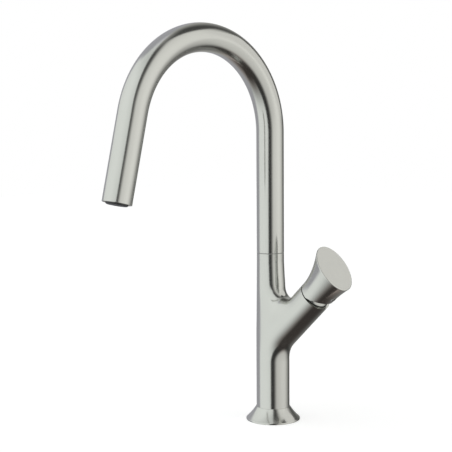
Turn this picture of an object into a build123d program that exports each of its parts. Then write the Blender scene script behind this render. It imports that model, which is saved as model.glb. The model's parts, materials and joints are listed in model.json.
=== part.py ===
from build123d import *
import os
from math import cos, radians, sin, sqrt, tan

os.makedirs("parts", exist_ok=True)

# A deck-mounted kitchen mixer: a Y-shaped body with a high swivel spout and a joystick knob
# on a side branch. Sizes are millimetres. The origin is the middle of the base flange's
# underside, on the deck. +Z is up, the spout reaches towards -Y, the branch towards +X.

# ---- Clearances ----
slip = 0.05  # between pieces that are pushed, screwed or running one in the other
apart = 0.3  # between pieces that move past each other without touching

# ---- Base flange, seal and spigot ----
flange_radius = 27.85
flange_edge = 1.6
flange_height = 13.8
flange_waist = 21.9  # radius of the hollow flare near half its height
flange_waist_rise = 0.8
flange_ledge = 0.5  # how far the flange's top stands out from the column
flange_rounding = 0.9
spigot_radius = 14.5
spigot_drop = 11.8
seal_outer = 21.7
seal_thickness = 2.4

# ---- Body casting ----
body_radius = 17.1
body_height = 173.4  # the seam under the spout
riser_radius = 14.0
neck_start = 78.0  # where the column starts to narrow into the riser
neck_drop = 8.4  # the riser is straight for this far below the seam
neck_sections = 6
branch_radius = 16.8
branch_angle = 46.3  # from the vertical
branch_height = 79.8  # where the two axes cross
branch_length = 80.1
bend_radius = 38.0  # the soft bend under the branch, at its axis
join_fillet = 14.0
socket_radius = 11.0
socket_depth = 41.4
waterway_radius = 6.0
waterway_rise = 8.2  # its lower end, above the crossing of the two axes

# ---- Inlets and mounting stud ----
inlet_radius = 4.5  # M10 x 1 tapping
inlet_thread = 12.0
inlet_channel = 3.6
inlet_rise = 5.2  # the channels' upper ends, above the crossing
inlet_channel_shift = 0.5
inlet_x = 4.0
inlet_spread = 7.5
stud_radius = 3.95  # M8
stud_x = -8.5
stud_engaged = 12.0
stud_drop = 70.0
stud_chamfer = 0.6
stud_run_out = 1.0  # how much deeper its hole is

# ---- Deck clamp ----
deck_gap = 30.0
clamp_radius = 23.0
clamp_thickness = 2.5
gasket_thickness = 3.0
hose_slot_edge = -2.0
hose_slot_width = 27.0
clamp_corner = 1.5
clamp_nut_flats = 13.0
clamp_nut_height = 20.0

# ---- Cartridge seat: depths are below the branch's end face ----
mouth_radius = 14.3
seat_depth = 36.0
cartridge_radius = 12.5
cartridge_wall = 1.1
cartridge_lid = 1.3
cartridge_lid_depth = 13.6
cartridge_base_height = 5.0
port_radius = 2.9
inlet_port = (-3.0, 6.0)
outlet_port = (6.0, 0.0)
port_seal_section = 0.7
disc_thickness = 3.5
moving_disc_radius = 7.4
disc_port_spread = 3.6
disc_port_radius = 1.6
carrier_height = 3.2
carrier_boss_radius = 5.2
carrier_lip = 1.0  # how far its cup rises past the middle of the stem's foot

# ---- Lever and its pivot ----
pivot_depth = 7.5
knob_tilt = 18.0
foot_arm = 10.0
foot_radius = 2.8
foot_neck_radius = 2.2
stem_radius = 3.9
stem_square = 7.0
stem_reach = 22.0
pin_radius = 1.5
guide_neck_radius = 9.0
guide_neck_above = 4.0
nut_height = 5.0
spanner_slot = 3.0
bonnet_sphere = 16.1
bonnet_wall = 1.2
bonnet_floor = 1.5
cavity_clearance = 0.45  # between the bonnet's dome and the hollow of the knob over it

# ---- Knob ----
knob_gap = 1.1
face_height = 38.4
face_shift = 4.8
face_tilt = 6.7
face_half_length = 25.6
face_half_width = 20.2
knob_sections = 5
knob_rim = 0.5
notch_start = 1.1
notch_angle = 26.0
grub_height = 15.5
grub_radius = 2.5
grub_length = 10.0
plug_radius = 3.0
plug_proud = 0.3

# ---- Spout ----
tube_wall = 1.5
arch_radius = 92.35
arch_height = 296.6
arch_sweep = 166.3
tail_length = 84.9
tube_rim = 0.5
swivel_ring_height = 0.6
swivel_ring_inset = 0.3
nipple_reach = 39.0
nipple_top = 16.0
nipple_bore = 7.5
ring_section = 0.9
ring_groove_width = 2.6
ring_drops = (8.5, 28.5)
lock_drop = 18.5
lock_radius = 2.5
lock_bite = 1.8
lock_recess = 0.4
lock_hex_bottom = 2.0  # above the screw's tip

# ---- Aerator ----
aerator_wall = 1.8
aerator_depth = 12.0
aerator_recess = 0.5
aerator_dome = 1.6
aerator_hole = 0.8
aerator_counts = (6, 12)
aerator_spreads = (3.4, 7.0)
washer_thickness = 2.0
washer_width = 3.2

# ---- Planes and levels worked out from them ----
lean = radians(branch_angle)
riser_x = riser_radius - body_radius
branch_plane = Plane(
    origin=(0, 0, branch_height), x_dir=(-cos(lean), 0, sin(lean)), z_dir=(sin(lean), 0, cos(lean))
)
end_plane = branch_plane.offset(branch_length)
branch_section = Plane(origin=end_plane.origin, x_dir=end_plane.x_dir, z_dir=(0, 1, 0))
branch_axis = Axis(end_plane.origin, end_plane.z_dir)
riser_section = Plane(origin=(riser_x, 0, 0), x_dir=(1, 0, 0), z_dir=(0, -1, 0))
riser_axis = Axis((riser_x, 0, 0), (0, 0, 1))
spigot_bottom = flange_height - spigot_drop
neck_end = body_height - neck_drop
bend_reach = bend_radius * tan(lean / 2)
seat_radius = cartridge_radius + 2 * slip
base_top = cartridge_base_height - seat_depth
fixed_disc_top = base_top + disc_thickness
moving_disc_bottom = fixed_disc_top + slip
moving_disc_top = moving_disc_bottom + disc_thickness
carrier_top = moving_disc_top + carrier_height
foot_level = -pivot_depth - foot_arm
boss_top = foot_level + carrier_lip
plate_bottom = boss_top + apart
lid_bottom = -cartridge_lid_depth - cartridge_lid
housing_bore = cartridge_radius - cartridge_wall
guide_radius = housing_bore - apart
neck_top = guide_neck_above - pivot_depth
nut_top = nut_height - cartridge_lid_depth
neck_hole = guide_neck_radius + apart
bonnet_radius = mouth_radius - apart
cavity_sphere = bonnet_sphere + cavity_clearance
slot_half_width = stem_radius + apart
tube_bore = riser_radius - tube_wall
tube_bottom = body_height + swivel_ring_height + slip


def turned(section, axis, points):
    """A closed outline of (radius, level) points, turned about its axis."""
    with BuildPart() as piece:
        with BuildSketch(section):
            with BuildLine():
                Polyline(*points, close=True)
            make_face()
        revolve(axis=axis)
    return piece.part


# ---- Base flange: a hollow flare that covers the deck hole ----
with BuildPart() as base_flange:
    with BuildSketch(Plane.XZ):
        with BuildLine():
            flare_top = (body_radius + flange_ledge, flange_height)
            flare_waist = (flange_waist, flange_height / 2 + flange_waist_rise)
            Line((spigot_radius + 2 * slip, 0), (flange_radius, 0))
            Line((flange_radius, 0), (flange_radius, flange_edge))
            ThreePointArc((flange_radius, flange_edge), flare_waist, flare_top)
            Line(flare_top, (spigot_radius + 2 * slip, flange_height))
            Line((spigot_radius + 2 * slip, flange_height), (spigot_radius + 2 * slip, 0))
        make_face()
    revolve(axis=Axis.Z)
    hoops = base_flange.edges().filter_by(lambda edge: edge.is_closed)
    fillet(hoops.group_by(SortBy.RADIUS)[-1].sort_by(Axis.Z)[-1], flange_rounding)
    with BuildSketch(Plane.XY):
        Circle(seal_outer + apart)
    extrude(amount=seal_thickness, mode=Mode.SUBTRACT)
base_flange.part.label = "base_flange"
export_step(base_flange.part, "parts/base_flange.step")

# ---- Deck seal: a flat ring let into the flange's underside ----
with BuildPart() as deck_seal:
    with BuildSketch(Plane.XY):
        Circle(seal_outer)
        Circle(spigot_radius + apart, mode=Mode.SUBTRACT)
    extrude(amount=seal_thickness)
deck_seal.part.label = "deck_seal"
export_step(deck_seal.part, "parts/deck_seal.step")

# ---- Body: one casting of column, riser and branch, with its waterways ----
with BuildPart() as faucet_body:
    with BuildSketch(Plane.XY.offset(spigot_bottom)):
        Circle(spigot_radius)
    extrude(amount=spigot_drop)
    with BuildSketch(Plane.XY.offset(flange_height)):
        Circle(body_radius)
    extrude(amount=neck_start - flange_height)
    for step in range(neck_sections + 1):
        share = step / neck_sections
        eased = share * share * (3 - 2 * share)
        level = neck_start + share * (neck_end - neck_start)
        with BuildSketch(Plane(origin=(riser_x * eased, 0, level))):
            Circle(body_radius + (riser_radius - body_radius) * eased)
    loft()
    with BuildSketch(Plane(origin=(riser_x, 0, neck_end))):
        Circle(riser_radius)
    extrude(amount=body_height - neck_end)
    # The branch leaves the column in a soft bend, which is lost in the column at its foot.
    with BuildLine(Plane.XZ) as branch_path:
        foot = Line((0, branch_height - bend_reach - join_fillet), (0, branch_height - bend_reach))
        bend = JernArc(foot @ 1, (0, 1), bend_radius, -branch_angle)
        Line(bend @ 1, (branch_length * sin(lean), branch_height + branch_length * cos(lean)))
    with BuildSketch(Plane.XY.offset(branch_height - bend_reach - join_fillet)):
        Circle(branch_radius)
    sweep(path=branch_path.line)
    join = faucet_body.edges().filter_by(GeomType.BSPLINE)
    fillet(join.filter_by(lambda edge: edge.bounding_box().size.Z > 1), join_fillet)
    # Cartridge seat and mouth
    with BuildSketch(end_plane):
        Circle(mouth_radius)
    extrude(amount=-cartridge_lid_depth, mode=Mode.SUBTRACT)
    with BuildSketch(end_plane):
        Circle(seat_radius)
    extrude(amount=-seat_depth, mode=Mode.SUBTRACT)
    # Two cold and hot channels up to the seat, and the mixed channel back to the riser
    with BuildSketch(end_plane.offset(-seat_depth)):
        with Locations((inlet_port[0], inlet_port[1]), (inlet_port[0], -inlet_port[1])):
            Circle(port_radius)
    inlet_depth = (end_plane.origin.X - inlet_x) / sin(lean) + inlet_radius
    extrude(amount=seat_depth - inlet_depth, mode=Mode.SUBTRACT)
    with BuildSketch(end_plane.offset(-seat_depth)):
        with Locations(outlet_port):
            Circle(port_radius)
    extrude(amount=seat_depth - (end_plane.origin.X - riser_x) / sin(lean), mode=Mode.SUBTRACT)
    with BuildSketch(Plane(origin=(riser_x, 0, body_height))):
        Circle(socket_radius)
    extrude(amount=-socket_depth, mode=Mode.SUBTRACT)
    with BuildSketch(Plane(origin=(riser_x, 0, body_height - socket_depth))):
        Circle(waterway_radius)
    extrude(amount=branch_height + waterway_rise - body_height + socket_depth, mode=Mode.SUBTRACT)
    # Inlets, stud hole and the lock screw's hole at the back of the riser
    for side in (-1, 1):
        with BuildSketch(Plane(origin=(inlet_x, side * inlet_spread, spigot_bottom))):
            Circle(inlet_radius)
        extrude(amount=inlet_thread, mode=Mode.SUBTRACT)
        channel_y = side * (inlet_spread - inlet_channel_shift)
        with BuildSketch(Plane(origin=(inlet_x, channel_y, spigot_bottom + inlet_thread))):
            Circle(inlet_channel)
        extrude(amount=branch_height + inlet_rise - spigot_bottom - inlet_thread, mode=Mode.SUBTRACT)
    with BuildSketch(Plane(origin=(stud_x, 0, spigot_bottom))):
        Circle(stud_radius + slip)
    extrude(amount=stud_engaged + stud_run_out, mode=Mode.SUBTRACT)
    with BuildSketch(Plane(origin=(riser_x, 0, body_height - lock_drop), z_dir=(0, 1, 0))):
        Circle(lock_radius + slip)
    extrude(amount=2 * riser_radius, mode=Mode.SUBTRACT)
faucet_body.part.label = "faucet_body"
export_step(faucet_body.part, "parts/faucet_body.step")

# ---- Mounting stud: screwed up into the body, it pulls the clamp against the deck ----
with BuildPart() as mounting_stud:
    with BuildSketch(Plane(origin=(stud_x, 0, -stud_drop))):
        Circle(stud_radius)
    extrude(amount=stud_drop + spigot_bottom + stud_engaged)
    chamfer(mounting_stud.edges().filter_by(GeomType.CIRCLE), stud_chamfer)
mounting_stud.part.label = "mounting_stud"
export_step(mounting_stud.part, "parts/mounting_stud.step")


def horseshoe(level, thickness):
    """A round plate, open on one side for the hoses and drilled for the stud."""
    with BuildPart() as plate:
        with BuildSketch(Plane.XY.offset(level)):
            Circle(clamp_radius)
            with Locations((hose_slot_edge, 0)):
                to_the_right = (Align.MIN, Align.CENTER)
                Rectangle(2 * clamp_radius, hose_slot_width, align=to_the_right, mode=Mode.SUBTRACT)
            with Locations((stud_x, 0)):
                Circle(stud_radius + apart, mode=Mode.SUBTRACT)
        extrude(amount=-thickness)
        fillet(plate.edges().filter_by(Axis.Z), clamp_corner)
    return plate.part


# ---- Deck clamp: rubber gasket, steel horseshoe and long hexagon nut ----
clamp_gasket = horseshoe(-deck_gap, gasket_thickness)
clamp_gasket.label = "clamp_gasket"
export_step(clamp_gasket, "parts/clamp_gasket.step")

clamp_plate = horseshoe(-deck_gap - gasket_thickness, clamp_thickness)
clamp_plate.label = "clamp_plate"
export_step(clamp_plate, "parts/clamp_plate.step")

clamp_nut_top = -deck_gap - gasket_thickness - clamp_thickness
with BuildPart() as clamp_nut:
    with BuildSketch(Plane(origin=(stud_x, 0, clamp_nut_top))):
        RegularPolygon(clamp_nut_flats / 2, 6, major_radius=False)
        Circle(stud_radius + slip, mode=Mode.SUBTRACT)
    extrude(amount=-clamp_nut_height)
clamp_nut.part.label = "clamp_nut"
export_step(clamp_nut.part, "parts/clamp_nut.step")

# ---- Cartridge base: carries the three ports and their seals ----
with BuildPart() as cartridge_base:
    with BuildSketch(end_plane.offset(-seat_depth)):
        Circle(cartridge_radius)
        with Locations((inlet_port[0], inlet_port[1]), (inlet_port[0], -inlet_port[1]), outlet_port):
            Circle(port_radius, mode=Mode.SUBTRACT)
    extrude(amount=cartridge_base_height)
    with BuildSketch(end_plane.offset(-seat_depth)):
        with Locations((inlet_port[0], inlet_port[1]), (inlet_port[0], -inlet_port[1]), outlet_port):
            Circle(port_radius + 2 * port_seal_section)
    extrude(amount=2 * port_seal_section, mode=Mode.SUBTRACT)
cartridge_base.part.label = "cartridge_base"
export_step(cartridge_base.part, "parts/cartridge_base.step")

# ---- Port seals: three O-rings between the cartridge and its seat ----
with BuildPart() as port_seals:
    with BuildSketch(end_plane.offset(-seat_depth)):
        with Locations((inlet_port[0], inlet_port[1]), (inlet_port[0], -inlet_port[1]), outlet_port):
            Circle(port_radius + 2 * port_seal_section - slip)
            Circle(port_radius, mode=Mode.SUBTRACT)
    extrude(amount=2 * port_seal_section)
port_seals.part.label = "port_seals"
export_step(port_seals.part, "parts/port_seals.step")

# ---- Fixed ceramic disc ----
with BuildPart() as fixed_disc:
    with BuildSketch(end_plane.offset(base_top)):
        Circle(housing_bore - slip)
        with Locations((inlet_port[0], inlet_port[1]), (inlet_port[0], -inlet_port[1]), outlet_port):
            Circle(port_radius - apart, mode=Mode.SUBTRACT)
    extrude(amount=disc_thickness)
fixed_disc.part.label = "fixed_disc"
export_step(fixed_disc.part, "parts/fixed_disc.step")

# ---- Moving ceramic disc: slides over the fixed one and opens its ports ----
with BuildPart() as moving_disc:
    with BuildSketch(end_plane.offset(moving_disc_bottom)):
        Circle(moving_disc_radius)
    extrude(amount=disc_thickness)
    with BuildSketch(end_plane.offset(moving_disc_bottom)):
        SlotCenterToCenter(disc_port_spread, 2 * disc_port_radius)
    extrude(amount=disc_thickness / 2, mode=Mode.SUBTRACT)
moving_disc.part.label = "moving_disc"
export_step(moving_disc.part, "parts/moving_disc.step")

# ---- Disc carrier: a cup on the moving disc that takes the stem's foot ----
with BuildPart() as disc_carrier:
    with BuildSketch(end_plane.offset(moving_disc_top)):
        Circle(moving_disc_radius)
    extrude(amount=carrier_height)
    with BuildSketch(end_plane.offset(carrier_top)):
        Circle(carrier_boss_radius)
    extrude(amount=boss_top - carrier_top)
    with BuildSketch(end_plane.offset(boss_top)):
        Circle(foot_radius + apart)
    extrude(amount=foot_level - foot_radius - apart - boss_top, mode=Mode.SUBTRACT)
disc_carrier.part.label = "disc_carrier"
export_step(disc_carrier.part, "parts/disc_carrier.step")

# ---- Cartridge housing: a cup with a lid that holds the turning guide down ----
cartridge_housing = turned(
    branch_section,
    branch_axis,
    [
        (housing_bore, base_top),
        (cartridge_radius, base_top),
        (cartridge_radius, -cartridge_lid_depth),
        (neck_hole, -cartridge_lid_depth),
        (neck_hole, lid_bottom),
        (housing_bore, lid_bottom),
    ],
)
cartridge_housing.label = "cartridge_housing"
export_step(cartridge_housing, "parts/cartridge_housing.step")

# ---- Stem guide: turns in the housing, and its two cheeks carry the stem's pin ----
with BuildPart() as stem_guide:
    with BuildSketch(end_plane.offset(carrier_top + apart)):
        Circle(guide_radius)
        Circle(guide_neck_radius, mode=Mode.SUBTRACT)
    extrude(amount=plate_bottom - carrier_top - apart)
    with BuildSketch(end_plane.offset(plate_bottom)):
        Circle(guide_radius)
    extrude(amount=lid_bottom - apart - plate_bottom)
    with BuildSketch(end_plane.offset(lid_bottom - apart)):
        Circle(guide_neck_radius)
    extrude(amount=neck_top - lid_bottom + apart)
    with BuildSketch(end_plane.offset(plate_bottom)):
        Rectangle(2 * guide_neck_radius, 2 * slot_half_width)
    extrude(amount=neck_top - plate_bottom, mode=Mode.SUBTRACT)
    with BuildSketch(Plane(origin=end_plane.offset(-pivot_depth).origin, z_dir=(0, 1, 0))):
        Circle(pin_radius + slip)
    extrude(amount=guide_neck_radius, both=True, mode=Mode.SUBTRACT)
stem_guide.part.label = "stem_guide"
export_step(stem_guide.part, "parts/stem_guide.step")

# ---- Cartridge nut: screwed into the branch's mouth, with four spanner slots ----
with BuildPart() as cartridge_nut:
    with BuildSketch(end_plane.offset(-cartridge_lid_depth)):
        Circle(mouth_radius - slip)
        Circle(neck_hole, mode=Mode.SUBTRACT)
    extrude(amount=nut_height)
    with BuildSketch(end_plane.offset(nut_top)):
        with PolarLocations((neck_hole + mouth_radius) / 2 - spanner_slot / 2, 4):
            Rectangle(spanner_slot, spanner_slot)
    extrude(amount=-nut_height / 2, mode=Mode.SUBTRACT)
cartridge_nut.part.label = "cartridge_nut"
export_step(cartridge_nut.part, "parts/cartridge_nut.step")

# ---- Bonnet: a domed cover on the guide, slotted for the stem, that turns with the knob ----
pivot_level = -pivot_depth
dome_foot = pivot_level + sqrt(bonnet_sphere**2 - bonnet_radius**2)
bonnet_bore = bonnet_radius - bonnet_wall
inner_sphere = bonnet_sphere - bonnet_wall
inner_foot = pivot_level + sqrt(inner_sphere**2 - bonnet_bore**2)
floor_bottom = neck_top - 2 * bonnet_floor
floor_top = neck_top - bonnet_floor
neck_seat = guide_neck_radius + slip
slot_reach = bonnet_sphere * sin(radians(knob_tilt)) + slot_half_width / cos(radians(knob_tilt)) + apart
with BuildPart() as bonnet:
    with BuildSketch(branch_section):
        with BuildLine():
            Polyline((neck_seat, floor_bottom), (bonnet_radius, floor_bottom), (bonnet_radius, dome_foot))
            RadiusArc((bonnet_radius, dome_foot), (0, pivot_level + bonnet_sphere), -bonnet_sphere)
            Line((0, pivot_level + bonnet_sphere), (0, pivot_level + inner_sphere))
            RadiusArc((0, pivot_level + inner_sphere), (bonnet_bore, inner_foot), inner_sphere)
            Polyline((bonnet_bore, inner_foot), (bonnet_bore, floor_top), (neck_seat, floor_top))
            Line((neck_seat, floor_top), (neck_seat, floor_bottom))
        make_face()
    revolve(axis=branch_axis)
    with BuildSketch(end_plane):
        with Locations((slot_half_width, 0)):
            Rectangle(slot_half_width + slot_reach, 2 * slot_half_width, align=(Align.MAX, Align.CENTER))
    extrude(amount=bonnet_sphere, mode=Mode.SUBTRACT)
bonnet.part.label = "bonnet"
export_step(bonnet.part, "parts/bonnet.step")

# ---- Stem: ball foot, neck, round shank on the pin, and a square for the knob ----
shank_bottom = -cartridge_lid_depth + 2 * apart
square_bottom = pivot_level + sqrt(cavity_sphere**2 - stem_radius**2) - slip
with BuildPart() as stem:
    with Locations(end_plane.offset(foot_level).origin):
        Sphere(foot_radius)
    with BuildSketch(end_plane.offset(foot_level)):
        Circle(foot_neck_radius)
    extrude(amount=shank_bottom - foot_level)
    with BuildSketch(end_plane.offset(shank_bottom)):
        Circle(stem_radius)
    extrude(amount=square_bottom - shank_bottom)
    with BuildSketch(end_plane.offset(square_bottom)):
        Rectangle(stem_square, stem_square)
    extrude(amount=stem_reach - square_bottom)
    with BuildSketch(Plane(origin=end_plane.offset(pivot_level).origin, z_dir=(0, 1, 0))):
        Circle(pin_radius)
    extrude(amount=2 * stem_radius, both=True, mode=Mode.SUBTRACT)
stem.part.label = "stem"
export_step(stem.part, "parts/stem.step")

# ---- Stem pin: the axle that the lever tilts on ----
with BuildPart() as stem_pin:
    with BuildSketch(Plane(origin=end_plane.offset(pivot_level).origin, z_dir=(0, 1, 0))):
        Circle(pin_radius)
    extrude(amount=guide_neck_radius - apart, both=True)
stem_pin.part.label = "stem_pin"
export_step(stem_pin.part, "parts/stem_pin.step")

# ---- Knob: a trumpet flaring from the branch's circle to a slanting oval face ----
with BuildPart() as knob:
    for step in range(knob_sections + 1):
        share = step / knob_sections
        flare = share * share
        slant = radians(face_tilt) * share
        centre = (face_shift * flare, 0, knob_gap + (face_height - knob_gap) * share)
        along = end_plane.x_dir * cos(slant) + end_plane.z_dir * sin(slant)
        outward = end_plane.z_dir * cos(slant) - end_plane.x_dir * sin(slant)
        with BuildSketch(Plane(origin=end_plane.from_local_coords(centre), x_dir=along, z_dir=outward)):
            Ellipse(
                branch_radius + (face_half_length - branch_radius) * flare,
                branch_radius + (face_half_width - branch_radius) * flare,
            )
    loft()
    fillet(knob.faces().sort_by(branch_axis)[-1].edges(), knob_rim)
    # Hollow that clears the bonnet at every tilt, and the socket for the stem
    with Locations(end_plane.offset(pivot_level).origin):
        Sphere(cavity_sphere, mode=Mode.SUBTRACT)
    with BuildSketch(end_plane):
        Rectangle(stem_square + 2 * slip, stem_square + 2 * slip)
    extrude(amount=stem_reach + apart, mode=Mode.SUBTRACT)
    # The notch under the skirt gives the knob room to tip outwards
    notch_reach = 2 * branch_radius
    with BuildSketch(branch_section):
        with BuildLine():
            Polyline(
                (notch_start, 0),
                (-notch_reach, (notch_start + notch_reach) * tan(radians(notch_angle))),
                (-notch_reach, -notch_reach),
                (notch_start, -notch_reach),
                close=True,
            )
        make_face()
    extrude(amount=notch_reach, both=True, mode=Mode.SUBTRACT)
    # Threaded hole for the grub screw and the wider mouth for its plug
    grub_plane = Plane(origin=end_plane.offset(grub_height).origin, z_dir=-end_plane.x_dir)
    with BuildSketch(grub_plane):
        Circle(grub_radius)
    extrude(amount=2 * branch_radius, mode=Mode.SUBTRACT)
    with BuildSketch(grub_plane.offset(stem_square / 2 + grub_length)):
        Circle(plug_radius)
    extrude(amount=branch_radius, mode=Mode.SUBTRACT)
knob.part.label = "knob"
export_step(knob.part, "parts/knob.step")

# ---- Grub screw that grips the stem, and the plug over it ----
with BuildPart() as knob_screw:
    with BuildSketch(grub_plane.offset(stem_square / 2)):
        Circle(grub_radius)
    extrude(amount=grub_length - apart)
    with BuildSketch(grub_plane.offset(stem_square / 2 + grub_length - apart)):
        RegularPolygon(grub_radius / 2, 6)
    extrude(amount=-grub_length / 3, mode=Mode.SUBTRACT)
knob_screw.part.label = "knob_screw"
export_step(knob_screw.part, "parts/knob_screw.step")

grub_share = (grub_height - knob_gap) / (face_height - knob_gap)
skirt_reach = branch_radius + (face_half_length - branch_radius - face_shift) * grub_share**2
plug_length = skirt_reach + plug_proud - stem_square / 2 - grub_length
with BuildPart() as screw_plug:
    with BuildSketch(grub_plane.offset(stem_square / 2 + grub_length)):
        Circle(plug_radius)
    extrude(amount=plug_length)
    fillet(screw_plug.faces().sort_by(Axis(grub_plane.origin, grub_plane.z_dir))[-1].edges(), plug_proud)
screw_plug.part.label = "screw_plug"
export_step(screw_plug.part, "parts/screw_plug.step")

# ---- Spout: one tube from the seam up, over the arch and down to the outlet ----
with BuildPart() as spout_tube:
    with BuildLine(Plane.YZ.offset(riser_x)) as spout_path:
        riser = Line((0, tube_bottom), (0, arch_height))
        arch = JernArc(riser @ 1, (0, 1), arch_radius, arch_sweep)
        tail = PolarLine(arch @ 1, tail_length, direction=arch % 1)
    with BuildSketch(Plane(origin=(riser_x, 0, tube_bottom))):
        Circle(riser_radius)
        Circle(tube_bore, mode=Mode.SUBTRACT)
    sweep(path=spout_path.line)
    outlet = Plane(origin=spout_path.line @ 1, x_dir=(1, 0, 0), z_dir=spout_path.line % 1)
    rim = spout_tube.faces().filter_by(GeomType.PLANE).sort_by(Axis.Z)[0:2].sort_by(Axis.Y)[0]
    fillet(rim.outer_wire().edges(), tube_rim)
spout_tube.part.label = "spout_tube"
export_step(spout_tube.part, "parts/spout_tube.step")

# ---- Swivel ring: the thin plastic washer seen as a line at the seam ----
with BuildPart() as swivel_ring:
    with BuildSketch(Plane(origin=(riser_x, 0, body_height))):
        Circle(riser_radius - swivel_ring_inset)
        Circle(socket_radius + apart, mode=Mode.SUBTRACT)
    extrude(amount=swivel_ring_height)
swivel_ring.part.label = "swivel_ring"
export_step(swivel_ring.part, "parts/swivel_ring.step")

# ---- Spout nipple: fixed in the tube, it turns in the body's socket on two O-rings ----
nipple_radius = socket_radius - slip
groove_floor = nipple_radius - 2 * ring_section
lock_tip = socket_radius - lock_bite
with BuildPart() as spout_nipple:
    with BuildSketch(Plane(origin=(riser_x, 0, tube_bottom))):
        Circle(tube_bore)
    extrude(amount=nipple_top)
    with BuildSketch(Plane(origin=(riser_x, 0, tube_bottom))):
        Circle(nipple_radius)
    extrude(amount=-nipple_reach)
    with BuildSketch(Plane(origin=(riser_x, 0, tube_bottom - nipple_reach))):
        Circle(nipple_bore)
    extrude(amount=nipple_reach + nipple_top, mode=Mode.SUBTRACT)
    for drop in ring_drops:
        with BuildSketch(Plane(origin=(riser_x, 0, body_height - drop - ring_groove_width / 2))):
            Circle(socket_radius)
            Circle(groove_floor, mode=Mode.SUBTRACT)
        extrude(amount=ring_groove_width, mode=Mode.SUBTRACT)
    lock_groove = 2 * (lock_radius + apart)
    with BuildSketch(Plane(origin=(riser_x, 0, body_height - lock_drop - lock_groove / 2))):
        Circle(socket_radius)
        Circle(lock_tip - apart, mode=Mode.SUBTRACT)
    extrude(amount=lock_groove, mode=Mode.SUBTRACT)
spout_nipple.part.label = "spout_nipple"
export_step(spout_nipple.part, "parts/spout_nipple.step")

# ---- Nipple O-rings ----
with BuildPart() as nipple_rings:
    for drop in ring_drops:
        with BuildSketch(riser_section):
            with Locations((groove_floor + ring_section, body_height - drop)):
                Circle(ring_section)
        revolve(axis=riser_axis)
nipple_rings.part.label = "nipple_rings"
export_step(nipple_rings.part, "parts/nipple_rings.step")

# ---- Lock screw: its tip rides in the nipple's groove and keeps the spout in ----
with BuildPart() as lock_screw:
    with BuildSketch(Plane(origin=(riser_x, lock_tip, body_height - lock_drop), z_dir=(0, 1, 0))):
        Circle(lock_radius)
    extrude(amount=sqrt(riser_radius**2 - lock_radius**2) - lock_tip - lock_recess)
    hexagon_bottom = (riser_x, lock_tip + lock_hex_bottom, body_height - lock_drop)
    with BuildSketch(Plane(origin=hexagon_bottom, z_dir=(0, 1, 0))):
        RegularPolygon(lock_radius / 2, 6)
    extrude(amount=riser_radius, mode=Mode.SUBTRACT)
lock_screw.part.label = "lock_screw"
export_step(lock_screw.part, "parts/lock_screw.step")

# ---- Aerator: threaded sleeve, domed insert with its jets, and rubber washer ----
sleeve_radius = tube_bore - slip
insert_radius = sleeve_radius - aerator_wall
with BuildPart() as aerator_housing:
    with BuildSketch(outlet.offset(-aerator_depth)):
        Circle(sleeve_radius)
        Circle(insert_radius, mode=Mode.SUBTRACT)
    extrude(amount=aerator_depth - aerator_recess)
aerator_housing.part.label = "aerator_housing"
export_step(aerator_housing.part, "parts/aerator_housing.step")

with BuildPart() as aerator_insert:
    with BuildSketch(outlet.offset(-aerator_depth)):
        Circle(insert_radius)
    extrude(amount=aerator_depth + aerator_dome)
    fillet(aerator_insert.faces().sort_by(Axis(outlet.origin, outlet.z_dir))[-1].edges(), aerator_dome)
    with BuildSketch(outlet.offset(-aerator_depth)):
        for count, spread in zip(aerator_counts, aerator_spreads):
            with PolarLocations(spread, count):
                Circle(aerator_hole)
    extrude(amount=2 * aerator_depth, mode=Mode.SUBTRACT)
aerator_insert.part.label = "aerator_insert"
export_step(aerator_insert.part, "parts/aerator_insert.step")

with BuildPart() as aerator_washer:
    with BuildSketch(outlet.offset(-aerator_depth)):
        Circle(sleeve_radius)
        Circle(sleeve_radius - washer_width, mode=Mode.SUBTRACT)
    extrude(amount=-washer_thickness)
aerator_washer.part.label = "aerator_washer"
export_step(aerator_washer.part, "parts/aerator_washer.step")
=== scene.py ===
import json
from math import cos, degrees, pi, radians, sin, sqrt, tan

import bmesh
import bpy
import numpy as np
from mathutils import Matrix, Quaternion, Vector


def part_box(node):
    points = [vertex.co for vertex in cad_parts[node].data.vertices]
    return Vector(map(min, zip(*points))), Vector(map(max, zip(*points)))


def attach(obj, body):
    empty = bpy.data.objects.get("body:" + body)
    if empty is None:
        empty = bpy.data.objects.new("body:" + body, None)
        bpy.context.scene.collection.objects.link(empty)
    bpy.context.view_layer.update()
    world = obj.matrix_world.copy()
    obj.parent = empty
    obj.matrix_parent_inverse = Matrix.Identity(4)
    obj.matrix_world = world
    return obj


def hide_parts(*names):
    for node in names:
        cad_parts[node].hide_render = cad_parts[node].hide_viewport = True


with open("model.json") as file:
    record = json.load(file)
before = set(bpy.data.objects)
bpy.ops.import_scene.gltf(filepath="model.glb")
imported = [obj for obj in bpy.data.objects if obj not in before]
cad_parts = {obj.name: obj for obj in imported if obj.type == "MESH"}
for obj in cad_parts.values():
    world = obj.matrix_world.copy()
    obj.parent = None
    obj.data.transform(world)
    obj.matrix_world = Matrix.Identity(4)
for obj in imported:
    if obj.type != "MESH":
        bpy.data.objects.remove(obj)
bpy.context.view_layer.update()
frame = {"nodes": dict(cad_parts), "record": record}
mm = 0.001

# ---- Base flange -------------------------------------------------------------------------
# A turned stainless ring with a hollow flare. It hides the hole in the deck, and the body's
# shoulder clamps it down. Satin, polished round its axis, with a thin rounded foot.


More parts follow.
